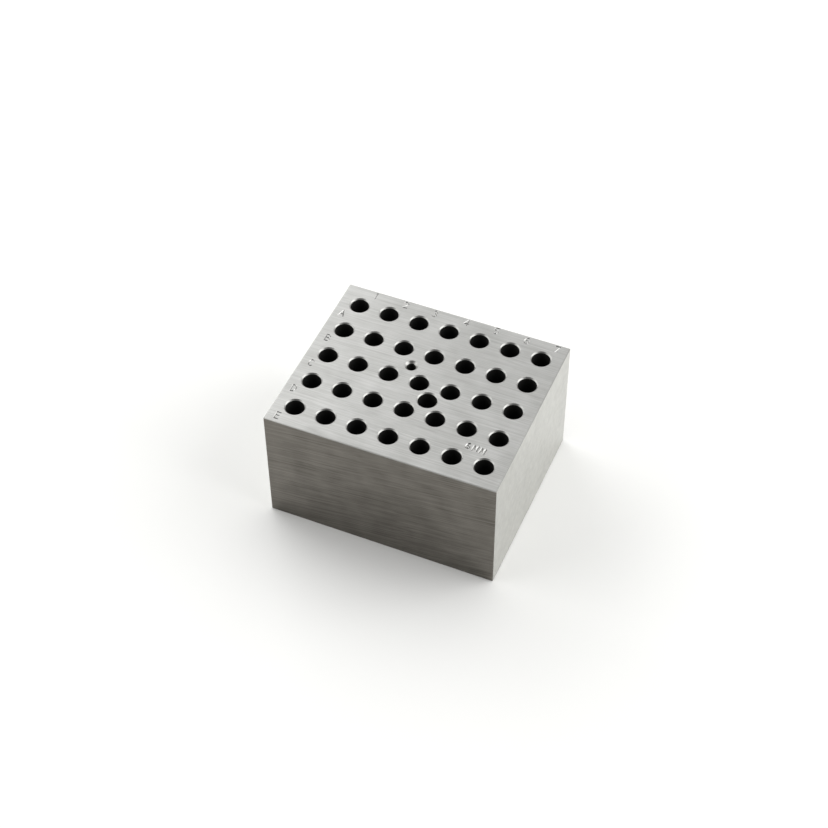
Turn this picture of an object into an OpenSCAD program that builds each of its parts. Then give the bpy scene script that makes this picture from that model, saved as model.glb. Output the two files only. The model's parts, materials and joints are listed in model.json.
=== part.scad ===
// Heat block insert: one solid block of aluminium, drilled with a grid of blind wells
// for small test tubes. One more well takes a thermometer, and a tapped hole takes the
// screw of a lifting handle. The block drops into the heated chamber of a dry bath.
//
// Frame: millimetres, +Z up. The origin is the centre of the underside. X runs along
// the rows of wells, and Y across them.

/* [Block] */
// Length of the block, along a row of wells
block_length = 90; // [88:0.5:120]
// Width of the block, across the rows of wells
block_width = 75.6; // [74:0.2:100]
// Height of the block, from its underside to its top face
block_height = 50.8; // [49:0.2:60]
// Chamfer that deburring leaves on the twelve outer edges
edge_chamfer = 0.3; // [0.1:0.1:1]

/* [Tube wells] */
// Wells in a row: an odd number, so that the block's middle is a well
well_columns = 7; // [3:2:7]
// Rows of wells: an odd number too
well_rows = 5; // [3:2:5]
// Distance between neighbouring wells in a row
column_pitch = 12.25; // [11.5:0.25:12.75]
// Distance between neighbouring rows
row_pitch = 14.25; // [13:0.25:15.5]
// Diameter of a well: that of a 6 mm tube and its clearance
well_diameter = 7.1; // [6.2:0.1:7.6]
// Depth of a well's straight wall below the top face
well_depth = 42; // [20:0.5:44]
// Chamfer at the mouth of a well
mouth_chamfer = 0.45; // [0.1:0.05:0.5]
// Point angle of the drill, which shapes the floor of each hole
drill_point_angle = 118; // [90:1:140]

/* [Thermometer well and lifting hole] */
// How far each of the two lies from the block's middle, along a row
single_hole_x = 6.1; // [5.5:0.1:6.5]
// How far each of the two lies from the block's middle, across the rows
single_hole_y = 6.9; // [6.5:0.1:7.5]
// Diameter of the drilled hole that the lifting thread is tapped in
tapping_diameter = 3.3; // [3:0.1:4.2]
// Depth of the tapped hole's straight wall below the top face
tapping_depth = 18; // [10:0.5:30]
// Diameter of the countersink that leads the lifting screw in
countersink_diameter = 5.2; // [4.4:0.1:5.4]

/* [Hidden] */
$fn = 96;
overcut = 1; // how far a cutter stands proud of the top face

// Where a well is drilled in the top face. Column 0 is at -X and row 0 at +Y.
function well_centre(column, row) = [
    (column - (well_columns - 1) / 2) * column_pitch,
    ((well_rows - 1) / 2 - row) * row_pitch
];

// The two single holes stand in gaps between four wells, either side of the middle.
thermometer_centre = [single_hole_x, -single_hole_y];
lifting_centre = -thermometer_centre;

// A rectangle about the origin with its four corners cut off at 45 degrees.
module chamfered_rectangle(length, width, chamfer) {
    x = length / 2;
    y = width / 2;
    polygon([
        [x, y - chamfer], [x - chamfer, y],
        [chamfer - x, y], [-x, y - chamfer],
        [-x, chamfer - y], [chamfer - x, -y],
        [x - chamfer, -y], [x, chamfer - y]
    ]);
}

// The milled blank before drilling. Three chamfered bars, one along each axis, have in
// common the block with every outer edge broken.
module blank() {
    translate([0, 0, block_height / 2])
        intersection() {
            linear_extrude(block_height, center = true)
                chamfered_rectangle(block_length, block_width, edge_chamfer);
            rotate([90, 0, 0])
                linear_extrude(block_width, center = true)
                    chamfered_rectangle(block_length, block_height, edge_chamfer);
            rotate([0, 90, 0])
                linear_extrude(block_length, center = true)
                    chamfered_rectangle(block_height, block_width, edge_chamfer);
        }
}

// What the drill and the countersink take out, with the top face at z = 0: a straight
// wall down to the depth, the drill's point below it and a 45 degree chamfer above.
module drilled_hole(diameter, depth, chamfer) {
    radius = diameter / 2;
    point_length = radius / tan(drill_point_angle / 2);
    rotate_extrude()
        polygon([
            [0, -depth - point_length],
            [radius, -depth],
            [radius, -chamfer],
            [radius + chamfer + overcut, overcut],
            [0, overcut]
        ]);
}

// The grid of tube wells, and the thermometer well, which the same drill makes.
module wells() {
    centres = [
        for (row = [0 : well_rows - 1])
        for (column = [0 : well_columns - 1])
            well_centre(column, row)
    ];
    for (centre = concat(centres, [thermometer_centre]))
        translate(centre)
            drilled_hole(well_diameter, well_depth, mouth_chamfer);
}

// The hole that is tapped for the lifting handle's screw.
module lifting_hole() {
    countersink = (countersink_diameter - tapping_diameter) / 2;
    translate(lifting_centre)
        drilled_hole(tapping_diameter, tapping_depth, countersink);
}

module block() {
    color("silver")
        difference() {
            blank();
            translate([0, 0, block_height]) {
                wells();
                lifting_hole();
            }
        }
}

block();
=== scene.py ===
import json
import math

import bmesh
import bpy
from mathutils import Matrix, Vector


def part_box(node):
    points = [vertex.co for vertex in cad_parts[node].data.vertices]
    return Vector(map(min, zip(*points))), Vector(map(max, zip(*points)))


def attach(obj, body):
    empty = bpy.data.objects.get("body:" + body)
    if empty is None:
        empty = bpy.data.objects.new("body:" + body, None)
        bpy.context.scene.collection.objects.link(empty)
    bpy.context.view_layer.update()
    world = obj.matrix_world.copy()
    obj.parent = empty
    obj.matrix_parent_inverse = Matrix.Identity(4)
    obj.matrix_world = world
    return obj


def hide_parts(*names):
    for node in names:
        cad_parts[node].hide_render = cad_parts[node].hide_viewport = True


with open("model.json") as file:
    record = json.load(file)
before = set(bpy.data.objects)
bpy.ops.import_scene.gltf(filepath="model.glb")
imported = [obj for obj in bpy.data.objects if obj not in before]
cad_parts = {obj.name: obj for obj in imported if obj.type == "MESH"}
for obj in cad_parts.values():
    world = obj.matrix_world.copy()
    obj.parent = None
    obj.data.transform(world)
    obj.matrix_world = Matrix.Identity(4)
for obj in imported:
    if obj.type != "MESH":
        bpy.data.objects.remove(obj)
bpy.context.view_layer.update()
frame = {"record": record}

# ---------------------------------------------------------------- the blank
# A block sawn from aluminium bar. Its top and underside are linished on a belt along its
# length, its two ends are milled, and its long sides keep the bar's streaks. The long sides
# are painted far darker than the top, as painted shade, and the ends paler, as painted
# light. Every edge is broken by a fine rounded chamfer, filed round the top, where it is
# painted lighter than the sides by the way it faces.
MM = 0.001
EDGE_CHAMFER = 0.3 * MM
EDGE_SEGMENTS = 2

block_low, block_high = (Vector(corner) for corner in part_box("block"))
block_size = block_high - block_low
block_middle = (block_low + block_high) / 2
top_z = block_high.z

blank = bmesh.new()
bmesh.ops.create_cube(
    blank,
    size=1,
    matrix=Matrix.Translation(block_middle) @ Matrix.Diagonal((*block_size, 1)),
)
bmesh.ops.bevel(
    blank,
    geom=blank.edges[:],
    offset=EDGE_CHAMFER,
    segments=EDGE_SEGMENTS,
    profile=0.5,
    affect="EDGES",
    material=-1,
)


def mesh_object(name, shape):
    """Puts a finished bmesh in an object of its own, at the origin."""
    mesh = bpy.data.meshes.new(name)
    shape.to_mesh(mesh)
    shape.free()
    piece = bpy.data.objects.new(name, mesh)
    bpy.context.scene.collection.objects.link(piece)
    return piece


def linear(colour):
    """Turns an sRGB hex colour to the linear one that a shader takes."""
    channels = [int(colour[place:place + 2], 16) / 255 for place in (0, 2, 4)]
    return [c / 12.92 if c <= 0.04045 else ((c + 0.055) / 1.055) ** 2.4 for c in channels] + [1.0]


def add_node(owner, kind, settings, **links):
    """Adds a node with its settings, which are properties or inputs, and its links. A
    link is named for its input, with _ for a space, or _2 for the third input."""
    node = owner.node_tree.nodes.new(kind)
    for name, value in settings.items():
        if isinstance(name, str) and hasattr(node, name):
            setattr(node, name, value)
        else:
            node.inputs[name].default_value = value
    for name, output in links.items():
        socket = int(name[1:]) if name[0] == "_" else name.replace("_", " ")
        owner.node_tree.links.new(output, node.inputs[socket])
    return node


def new_material(name):
    """Starts a material with no nodes in it."""
    material = bpy.data.materials.new(name)
    material.use_nodes = True
    material.node_tree.nodes.clear()
    return material


# The sizes of the patches that handling leaves, and of the waves in a streak's sway.
PATCH_SIZE = 9 * MM
WAVE_SIZE = 40 * MM
# Each kind of scratch: how many times shorter than a streak it is, where its noise is
# centred, in metres, so that the two don't line up, and the noise's detail.
STREAK = (1, (0, 0, 0), 3.0)
NICK = (3, (0.3, 0.1, 0.2), 2.0)
RAGGEDNESS = 0.6
# The nicks' share of the scratches, the patches' share of the whole, and the middle of
# that mixture's range, which is spread over the dark colour and the light one.
NICK_SHARE = 0.35
PATCH_SHARE = 0.25
DARK_TONE, LIGHT_TONE = 0.35, 0.65


def grained_metal(name, dark, light, roughness, grain, depth, sway=0.0, slant=0.0):
    """Aluminium with a grain: streaks of a length and a thickness, shorter nicks among
    them and faint patches. The streaks are so deep, sway within a band so wide and
    slant by so many degrees. A grain as thick as it is long is a mottle."""
    material = new_material(name)
    place = add_node(material, "ShaderNodeTexCoord", {}).outputs["Object"]
    waves = add_node(
        material,
        "ShaderNodeTexNoise",
        {"Scale": 1 / WAVE_SIZE, "Detail": 1.0},
        Vector=place,
    )
    swayed = add_node(
        material,
        "ShaderNodeVectorMath",
        {"operation": "MULTIPLY_ADD", 1: (0, sway, sway)},
        _0=waves.outputs["Color"],
        _2=place,
    )
    length, thickness = grain
    scratches = []
    for times_shorter, offset, detail in (STREAK, NICK):
        along = add_node(
            material,
            "ShaderNodeMapping",
            {
                "vector_type": "TEXTURE",
                "Location": offset,
                "Rotation": (0, math.radians(slant), 0),
                "Scale": (length / times_shorter, thickness, thickness),
            },
            Vector=swayed.outputs[0],
        )
        scratches.append(add_node(
            material,
            "ShaderNodeTexNoise",
            {"Scale": 1.0, "Detail": detail, "Roughness": RAGGEDNESS},
            Vector=along.outputs[0],
        ))
    streaks, nicks = scratches
    patches = add_node(
        material,
        "ShaderNodeTexNoise",
        {"Scale": 1 / PATCH_SIZE, "Detail": 2.0},
        Vector=place,
    )
    scored = add_node(
        material,
        "ShaderNodeMix",
        {"Factor": NICK_SHARE},
        _2=streaks.outputs[0],
        _3=nicks.outputs[0],
    )
    mottled = add_node(
        material,
        "ShaderNodeMix",
        {"Factor": PATCH_SHARE},
        _2=scored.outputs[0],
        _3=patches.outputs[0],
    )
    tone = add_node(
        material,
        "ShaderNodeMapRange",
        {"From Min": DARK_TONE, "From Max": LIGHT_TONE},
        Value=mottled.outputs[0],
    )
    colour = add_node(
        material,
        "ShaderNodeMix",
        {"data_type": "RGBA", 6: linear(dark), 7: linear(light)},
        _0=tone.outputs[0],
    )
    relief = add_node(
        material,
        "ShaderNodeBump",
        {"Strength": 1.0, "Distance": depth},
        Height=streaks.outputs[0],
    )
    metal = add_node(
        material,
        "ShaderNodeBsdfPrincipled",
        {"Metallic": 1.0, "Roughness": roughness},
        Base_Color=colour.outputs[2],
        Normal=relief.outputs[0],
    )
    add_node(material, "ShaderNodeOutputMaterial", {}, Surface=metal.outputs[0])
    return material


block = mesh_object("drilled_block", blank)


def finish_number(material):
    """Gives the block one more material, and returns the number that its faces take."""
    block.data.materials.append(material)
    return len(block.data.materials) - 1


# Belt-linished aluminium: pale and satin, with long, nearly straight streaks along the
# block. The belt's own scratches, about 0.1 mm apart, are too fine to show in the
# render, so they are drawn 0.36 mm thick.
TOP_FINISH = finish_number(grained_metal(
    "linished_aluminium",
    "9C9C99",
    "BBBBB9",
    roughness=0.38,
    grain=(60 * MM, 0.36 * MM),
    depth=0.008 * MM,
    sway=2 * MM,
))
# Bar as it left the mill, then rubbed by hand, with streaks that wander a little and
# slope along the side. Its dark warm grey, far darker than the top, is painted shade.
# The streaks too are drawn thicker, so that they show.
SIDE_PAINTED_SHADE = finish_number(grained_metal(
    "bar_painted_shade_aluminium",
    "5A5751",
    "807C76",
    roughness=0.3,
    grain=(50 * MM, 0.4 * MM),
    depth=0.008 * MM,
    sway=2 * MM,
    slant=-7,
))
# End-milled aluminium, smooth and faintly clouded, with no streaks. Its colour, the palest
# of the block's, is painted light.
END_PAINTED_LIGHT = finish_number(grained_metal(
    "milled_painted_light_aluminium",
    "C2C2BE",
    "D2D2CE",
    roughness=0.42,
    grain=(2.4 * MM, 2.4 * MM),
    depth=0.002 * MM,
))
# Filed aluminium on the chamfer round the top, painted light: a tone near the top's and
# far lighter than the sides', so that it shows as a fine line that catches a little light.
# The file's strokes are drawn 0.3 mm thick, most of the chamfer's width, so that they show.
EDGE_PAINTED_LIGHT = finish_number(grained_metal(
    "filed_painted_light_aluminium",
    "9C9C99",
    "A8A8A5",
    roughness=0.38,
    grain=(3 * MM, 0.3 * MM),
    depth=0.002 * MM,
))

# How much of a face's normal lies along an axis if the face is square to that axis, and
# how much of it points up, at the least, if the face is part of an edge round the top.
SQUARE_ON = 0.99
LEANING_UP = 0.1
# Each face takes its finish by the way it faces. The long sides and the edges that don't lean up take
# the sides' painted shade, the ends painted light, and the edges round the top a tone painted lighter
# than the sides.
for face in block.data.polygons:
    if abs(face.normal.z) > SQUARE_ON:
        face.material_index = TOP_FINISH
    elif abs(face.normal.x) > SQUARE_ON:
        face.material_index = END_PAINTED_LIGHT
    elif face.normal.z > LEANING_UP:
        face.material_index = EDGE_PAINTED_LIGHT
    else:
        face.material_index = SIDE_PAINTED_SHADE

# ---------------------------------------------------------------- the stamped marks
# Each column has a number and each row a letter, struck in the cold metal with 3 mm
# steel punches, one at a time and by eye. A punch leaves strokes with sloping sides,
# so each stroke is a groove with a V section.
PUNCH_HEIGHT = 3.1 * MM
PUNCH_FORCE = 1
# The depth and half the width of a plain stroke, struck with a force of 1, and how many
# sides its round ends have.
STROKE_DEPTH = 0.26 * MM
STROKE_HALF_WIDTH = 0.24 * MM
STROKE_SIDES = 10
# How far the cutters of the marks and of the holes stand out of the top.
OVERCUT = 0.5 * MM


def arc(x, y, radius_x, radius_y, start, end, steps=7):
    """Points on an ellipse from one angle to another, in degrees."""
    angles = [math.radians(start + (end - start) * step / steps) for step in range(steps + 1)]
    return [(x + radius_x * math.cos(angle), y + radius_y * math.sin(angle)) for angle in angles]


# The strokes of each punch, in parts of its height, about the middle of the mark.
PUNCHES = {
    "1": [[(-0.12, 0.33), (0.04, 0.5), (0.04, -0.5)]],
    "2": [arc(0, 0.22, 0.27, 0.28, 165, -35) + [(-0.28, -0.5), (0.3, -0.5)]],
    "3": [arc(0, 0.25, 0.25, 0.25, 150, -90), arc(0, -0.24, 0.28, 0.26, 90, -150)],
    "4": [[(0.14, -0.5), (0.14, 0.5), (-0.3, -0.2), (0.3, -0.2)]],
    "5": [[(0.26, 0.5), (-0.2, 0.5), (-0.24, 0.08)] + arc(0, -0.18, 0.28, 0.32, 125, -140, 9)],
    "6": [arc(0.02, -0.2, 0.28, 0.3, 0, 360, 12), arc(0.3, -0.1, 0.58, 0.62, 175, 105, 4)],
    "7": [[(-0.3, 0.5), (0.3, 0.5), (-0.08, -0.5)]],
    "A": [[(-0.32, -0.5), (0, 0.5), (0.32, -0.5)], [(-0.2, -0.14), (0.2, -0.14)]],
    "B": [
        [(-0.26, -0.5), (-0.26, 0.5)],
        [(-0.26, 0.5)] + arc(0.04, 0.26, 0.2, 0.24, 90, -90) + [(-0.26, 0.02)],
        arc(0.04, -0.24, 0.24, 0.26, 90, -90) + [(-0.26, -0.5)],
    ],
    "C": [arc(0.04, 0, 0.3, 0.5, 50, 310, 10)],
    "D": [[(-0.26, -0.5), (-0.26, 0.5)] + arc(-0.06, 0, 0.34, 0.5, 90, -90, 9) + [(-0.26, -0.5)]],
    "E": [[(0.26, 0.5), (-0.26, 0.5), (-0.26, -0.5), (0.26, -0.5)], [(-0.26, 0.02), (0.18, 0.02)]],
    "M": [[(-0.36, -0.5), (-0.32, 0.5), (0, -0.16), (0.32, 0.5), (0.36, -0.5)]],
}


def strike(marks, punch, height, force, x, y, turn):
    """Adds one mark's grooves, as cutters. The force is how many times deeper and wider
    they are than a plain stroke. Each straight stretch of a stroke is the hull of two
    cones that stand on their points, one at either end."""
    rim_radius = STROKE_HALF_WIDTH * (force + OVERCUT / STROKE_DEPTH)
    placed = Matrix.Translation((x, y, top_z)) @ Matrix.Rotation(math.radians(turn), 4, "Z")
    for stroke in PUNCHES[punch]:
        for start, end in zip(stroke, stroke[1:]):
            groove = bmesh.new()
            for end_x, end_y in (start, end):
                spot = placed @ Vector((end_x * height, end_y * height, 0))
                bmesh.ops.create_circle(
                    groove,
                    segments=STROKE_SIDES,
                    radius=rim_radius,
                    matrix=Matrix.Translation(spot + Vector((0, 0, OVERCUT))),
                )
                bmesh.ops.create_vert(groove, co=spot - Vector((0, 0, force * STROKE_DEPTH)))
            hull = bmesh.ops.convex_hull(groove, input=groove.verts[:])
            inside = [part for part in hull["geom_interior"] if isinstance(part, bmesh.types.BMVert)]
            bmesh.ops.delete(groove, geom=inside, context="VERTS")
            stretch = bpy.data.meshes.new("stretch")
            groove.to_mesh(stretch)
            groove.free()
            marks.from_mesh(stretch)
            bpy.data.meshes.remove(stretch)


# The holes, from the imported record: their axes, radii and the two ends of their walls.
holes = {}
for mount in frame["record"]["mounts"]:
    if mount["kind"] in ("bore", "threaded_hole"):
        x, y, z = mount["pos_m"]
        half_length = mount["dims"]["length_mm"] * MM / 2
        holes[mount["name"]] = {
            "x": x,
            "y": y,
            "radius": mount["dims"]["r_mm"] * MM,
            "wall_top": z + half_length,
            "wall_bottom": z - half_length,
        }

# How far a column's number stands from the column's first well, and a row's letter
# from the row's first well. The slips are those of a hand that sets a punch by eye:
# sideways, up the block and round, in millimetres and degrees.
NUMBER_OFFSET = Vector((3.85, 7.0)) * MM
LETTER_OFFSET = Vector((-4.25, -6.1)) * MM
NUMBER_SLIPS = {
    "1": (-0.15, 0.0, -2),
    "2": (0.0, 0.0, 1),
    "3": (-0.2, -0.1, 0),
    "4": (0.4, 0.15, 2),
    "5": (0.05, 0.3, -1),
    "6": (0.2, -0.1, 0),
    "7": (-0.1, -0.1, 1),
}
LETTER_SLIPS = {
    "A": (-0.25, -0.2, 0),
    "B": (0.2, 0.0, 2),
    "C": (0.1, 0.05, -2),
    "D": (-0.2, 0.1, 1),
    "E": (0.2, 0.0, -1),
}

marks = bmesh.new()
for slips, offset, well_name in (
    (NUMBER_SLIPS, NUMBER_OFFSET, "well_a{}"),
    (LETTER_SLIPS, LETTER_OFFSET, "well_{}1"),
):
    for punch, (slip_x, slip_y, turn) in slips.items():
        well = holes[well_name.format(punch.lower())]
        x = well["x"] + offset.x + slip_x * MM
        y = well["y"] + offset.y + slip_y * MM
        strike(marks, punch, PUNCH_HEIGHT, PUNCH_FORCE, x, y, turn)

# The size of the tubes, struck harder, with smaller punches, in the gap between the
# last four wells. Its slip and turn are the hand's, like the others'.
SIZE_MARK = "6MM"
SIZE_PUNCH_HEIGHT = 2.4 * MM
SIZE_PUNCH_FORCE = 1.6
SIZE_MARK_PITCH = 2.9 * MM
SIZE_MARK_SLIP = Vector((0.2, -0.4)) * MM
SIZE_MARK_TURN = -4
size_mark_x = (holes["well_d6"]["x"] + holes["well_e7"]["x"]) / 2 + SIZE_MARK_SLIP.x
size_mark_y = (holes["well_d6"]["y"] + holes["well_e7"]["y"]) / 2 + SIZE_MARK_SLIP.y
for place, punch in enumerate(SIZE_MARK):
    step = (place - (len(SIZE_MARK) - 1) / 2) * SIZE_MARK_PITCH
    strike(
        marks,
        punch,
        SIZE_PUNCH_HEIGHT,
        SIZE_PUNCH_FORCE,
        size_mark_x + step * math.cos(math.radians(SIZE_MARK_TURN)),
        size_mark_y + step * math.sin(math.radians(SIZE_MARK_TURN)),
        SIZE_MARK_TURN,
    )


def carve(body, cutter, overlapping=False):
    """Cuts one object's shape out of another, and removes the cutter. It has to be said
    if the cutter's own parts overlap."""
    cut = body.modifiers.new("cut", "BOOLEAN")
    cut.operation = "DIFFERENCE"
    cut.solver = "EXACT"
    cut.use_self = overlapping
    cut.material_mode = "INDEX"
    cut.object = cutter
    carved = bpy.data.meshes.new_from_object(body.evaluated_get(bpy.context.evaluated_depsgraph_get()))
    body.modifiers.clear()
    body.data = carved
    bpy.data.objects.remove(cutter)


# Aluminium pressed by a polished punch: smoother than the face round it, so that the
# walls of a stroke show as small bright and dark lines. Its mottle, like that of the
# finishes below, is far finer on the metal, and is drawn at about the finest that shows.
STRUCK_FINISH = finish_number(grained_metal(
    "struck_aluminium",
    "ABABA9",
    "B5B5B3",
    roughness=0.27,
    grain=(0.5 * MM, 0.5 * MM),
    depth=0.001 * MM,
))
bmesh.ops.recalc_face_normals(marks, faces=marks.faces[:])
for face in marks.faces:
    face.material_index = STRUCK_FINISH
carve(block, mesh_object("mark_cutters", marks), overlapping=True)

# ---------------------------------------------------------------- the drilled holes
# Thirty-five wells for the tubes, one for the thermometer and one for the lifting
# screw. Each is a blind hole, made with a 118 degree drill and opened at its mouth
# with a 90 degree countersink, so its cutter is half such a drill's section, spun.
DRILL_POINT = math.radians(118)
ROUND_STEPS = 72
MERGE_DISTANCE = 0.001 * MM

# Countersunk aluminium: clean and satin, so that each mouth has a bright crescent.
MOUTH_FINISH = finish_number(grained_metal(
    "countersunk_aluminium",
    "A3A3A0",
    "AFAFAC",
    roughness=0.38,
    grain=(0.5 * MM, 0.5 * MM),
    depth=0.001 * MM,
))
# Drilled aluminium, painted a dark grey as painted shade, so that a well reads as black
# inside.
WALL_PAINTED_SHADE = finish_number(grained_metal(
    "drilled_painted_shade_aluminium",
    "484846",
    "545452",
    roughness=0.65,
    grain=(0.5 * MM, 0.5 * MM),
    depth=0.002 * MM,
))

cutters = bmesh.new()
for hole in holes.values():
    radius = hole["radius"]
    mouth_radius = radius + top_z - hole["wall_top"]
    point_length = radius / math.tan(DRILL_POINT / 2)
    section = [
        (0, hole["wall_bottom"] - point_length),
        (radius, hole["wall_bottom"]),
        (radius, hole["wall_top"]),
        (mouth_radius + OVERCUT, top_z + OVERCUT),
        (0, top_z + OVERCUT),
    ]
    corners = [
        bmesh.ops.create_vert(cutters, co=(hole["x"] + r, hole["y"], z))["vert"][0] for r, z in section
    ]
    bmesh.ops.spin(
        cutters,
        geom=corners + [cutters.edges.new(ends) for ends in zip(corners, corners[1:])],
        cent=(hole["x"], hole["y"], 0),
        axis=(0, 0, 1),
        angle=math.tau,
        steps=ROUND_STEPS,
        use_merge=True,
    )
bmesh.ops.remove_doubles(cutters, verts=cutters.verts[:], dist=MERGE_DISTANCE)
bmesh.ops.recalc_face_normals(cutters, faces=cutters.faces[:])
lowest_mouth = min(hole["wall_top"] for hole in holes.values())
# Below the lowest mouth, the walls take the wells' painted shade.
for face in cutters.faces:
    in_mouth = face.calc_center_median().z > lowest_mouth
    face.material_index = MOUTH_FINISH if in_mouth else WALL_PAINTED_SHADE
carve(block, mesh_object("hole_cutters", cutters))

# ---------------------------------------------------------------- the lifting thread
# An M4 thread for the screw that lifts the hot block out of its heater. It is cut with
# a tap, after the countersink, so its last turn runs out in the countersink's cone.
THREAD_MAJOR = 4.0 * MM
THREAD_PITCH = 0.7 * MM
THREAD_LENGTH = 14 * MM
# How far the thread goes up into the cone, and how far the tap's tooth stands inside
# the drilled wall, so that it cuts the wall cleanly.
THREAD_RUN_OUT = 0.4 * MM
TAP_OVERLAP = 0.05 * MM
# The slope of a flank, and half of the flat at its root in parts of the pitch.
THREAD_FLANK = math.radians(30)
ROOT_HALF_FLAT = 0.06
THREAD_STEPS = 36

# Tapped aluminium, painted near black as painted shade, so that the hole stays black.
THREAD_PAINTED_SHADE = finish_number(grained_metal(
    "tapped_painted_shade_aluminium",
    "252523",
    "2F2F2D",
    roughness=0.5,
    grain=(0.4 * MM, 0.4 * MM),
    depth=0.001 * MM,
))

lifting = holes["lifting_thread"]
crest = lifting["radius"] - TAP_OVERLAP
root = THREAD_MAJOR / 2
root_half_flat = ROOT_HALF_FLAT * THREAD_PITCH
mouth_half = root_half_flat + (root - crest) * math.tan(THREAD_FLANK)
thread_bottom = lifting["wall_top"] + THREAD_RUN_OUT - THREAD_LENGTH
turns = int(THREAD_LENGTH / THREAD_PITCH)

tap = bmesh.new()
tooth = [(crest, -mouth_half), (root, -root_half_flat), (root, root_half_flat), (crest, mouth_half)]
corners = [
    bmesh.ops.create_vert(tap, co=(lifting["x"] + r, lifting["y"], thread_bottom + z))["vert"][0]
    for r, z in tooth
]
bmesh.ops.spin(
    tap,
    geom=corners + [tap.edges.new(ends) for ends in zip(corners, corners[1:] + corners[:1])],
    cent=(lifting["x"], lifting["y"], 0),
    axis=(0, 0, 1),
    dvec=(0, 0, THREAD_PITCH / THREAD_STEPS),
    angle=math.tau * turns,
    steps=THREAD_STEPS * turns,
)
bmesh.ops.holes_fill(tap, edges=[edge for edge in tap.edges if edge.is_boundary], sides=len(corners))
bmesh.ops.recalc_face_normals(tap, faces=tap.faces[:])
# The tap's faces take the thread's painted shade.
for face in tap.faces:
    face.material_index = THREAD_PAINTED_SHADE
carve(block, mesh_object("tap_cutter", tap))

# The block is whole. Its round walls are shaded smooth and its sharp edges stay crisp.
SHARP_EDGE = math.radians(20)
block.data.shade_smooth()
block.data.set_sharp_from_angle(angle=SHARP_EDGE)
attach(block, "root")
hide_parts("block")

# ---------------------------------------------------------------- the table
# A sheet of matt white paper, many times as wide as the block, on a flat table. It
# takes the block's soft shadow and is otherwise nearly as white as the room.
PAPER_SIZE = 1.3

sheet = bmesh.new()
bmesh.ops.create_grid(sheet, x_segments=1, y_segments=1, size=PAPER_SIZE / 2)
table = mesh_object("table", sheet)
paper = new_material("matt_white_paper")
matt = add_node(paper, "ShaderNodeBsdfDiffuse", {"Color": linear("F7F7F5")})
add_node(paper, "ShaderNodeOutputMaterial", {}, Surface=matt.outputs[0])
table.data.materials.append(paper)

# ---------------------------------------------------------------- the camera
# A long lens, about 0.7 m off, that looks down at 47.5 degrees on the block, over its
# near long side and from 23.5 degrees towards its right end. The lens and its sensor
# are in millimetres, as Blender takes them.
CAMERA_AIM = Vector((-5.00, 6.28, 25.4)) * MM
CAMERA_DISTANCE = 690.6 * MM
CAMERA_ROUND = math.radians(23.52)
CAMERA_UP = math.radians(47.52)
CAMERA_TILT = math.radians(-0.52)
CAMERA_LENS = 79.29
CAMERA_SENSOR = 36.0

turned = (
    Matrix.Rotation(CAMERA_ROUND, 4, "Z")
    @ Matrix.Rotation(math.pi / 2 - CAMERA_UP, 4, "X")
    @ Matrix.Rotation(CAMERA_TILT, 4, "Z")
)
lens = bpy.data.cameras.new("camera")
lens.lens = CAMERA_LENS
lens.sensor_width = CAMERA_SENSOR
camera = bpy.data.objects.new("camera", lens)
camera_place = CAMERA_AIM + turned.to_3x3() @ Vector((0, 0, CAMERA_DISTANCE))
camera.matrix_world = Matrix.Translation(camera_place) @ turned
bpy.context.scene.collection.objects.link(camera)
bpy.context.scene.camera = camera

# ---------------------------------------------------------------- the studio
# Three large softboxes, to the right, behind and to the left, in a white room whose
# front is dim. Bearings run from +X towards +Y and heights up from the table, in
# degrees. Sizes and distances are in metres.
SOFTBOX_DISTANCE = 1.2


def toward(bearing, height):
    """The direction of a bearing and a height, in degrees."""
    bearing, height = math.radians(bearing), math.radians(height)
    level = math.cos(height)
    return Vector((math.cos(bearing) * level, math.sin(bearing) * level, math.sin(height)))


for name, bearing, height, size, watts in (
    ("right_softbox", 14, 32, 1.2, 8.8),
    ("back_softbox", 146, 26, 1.0, 6.2),
    ("left_softbox", 207, 27, 1.0, 3.6),
):
    lamp = bpy.data.lights.new(name, "AREA")
    lamp.shape = "SQUARE"
    lamp.size = size
    lamp.energy = watts
    softbox = bpy.data.objects.new(name, lamp)
    away = toward(bearing, height)
    facing = away.to_track_quat("Z", "Y").to_matrix().to_4x4()
    softbox.matrix_world = Matrix.Translation(block_middle + away * SOFTBOX_DISTANCE) @ facing
    bpy.context.scene.collection.objects.link(softbox)

# The room is a white of strength 1 to the camera, to glass and, but for its dim front,
# to gloss and to the paper. The metal's edges need that one dark side to show. The
# white falls off from the front's edge to its core, in degrees from its middle.
DIM_FRONT = (-78, 32)
DIM_EDGE, DIM_CORE = 75, 30
DIM_STRENGTH = 0.15

room = bpy.data.worlds.new("white_room")
bpy.context.scene.world = room
room.use_nodes = True
room.node_tree.nodes.clear()
direction = add_node(room, "ShaderNodeTexCoord", {}).outputs["Generated"]
nearness = add_node(
    room,
    "ShaderNodeVectorMath",
    {"operation": "DOT_PRODUCT", 1: toward(*DIM_FRONT)},
    _0=direction,
)
brightness = add_node(
    room,
    "ShaderNodeMapRange",
    {
        "interpolation_type": "SMOOTHSTEP",
        "From Min": math.cos(math.radians(DIM_EDGE)),
        "From Max": math.cos(math.radians(DIM_CORE)),
        "To Min": 1.0,
        "To Max": DIM_STRENGTH,
    },
    Value=nearness.outputs["Value"],
)
ray = add_node(room, "ShaderNodeLightPath", {}).outputs
plain_white = add_node(
    room,
    "ShaderNodeMath",
    {"operation": "MAXIMUM"},
    _0=ray["Is Camera Ray"],
    _1=ray["Is Transmission Ray"],
)
strength = add_node(
    room,
    "ShaderNodeMath",
    {"operation": "MAXIMUM"},
    _0=plain_white.outputs[0],
    _1=brightness.outputs[0],
)
white = add_node(room, "ShaderNodeBackground", {"Color": linear("FFFFFF")}, Strength=strength.outputs[0])
add_node(room, "ShaderNodeOutputWorld", {}, Surface=white.outputs[0])
bpy.context.scene.view_settings.view_transform = "Standard"
